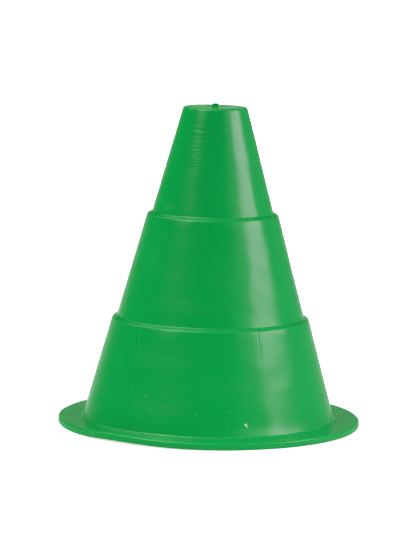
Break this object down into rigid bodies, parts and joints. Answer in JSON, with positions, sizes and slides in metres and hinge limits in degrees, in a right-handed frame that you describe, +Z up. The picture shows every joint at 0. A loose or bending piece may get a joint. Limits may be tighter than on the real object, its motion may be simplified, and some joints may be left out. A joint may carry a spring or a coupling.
{
  "type": "training cone",
  "caption": "Small hollow stepped training cone in green plastic, with tapered tiers, narrow ledges, a closed top and a round flange it stands on; nests in a stack.",
  "frame": {"origin": "centre of the flange's flat underside, on the ground", "axes": "+Z up along the cone's axis; -Y is the side that the picture shows, +X to its right"},
  "size_m": [0.1422, 0.1422, 0.1515],
  "materials": {
    "cone_plastic": "semi-gloss polyethylene, opaque green, lightly scuffed"
  },
  "bodies": {
    "root": {"cone_body": "cone_plastic"}
  },
  "joints": []
}
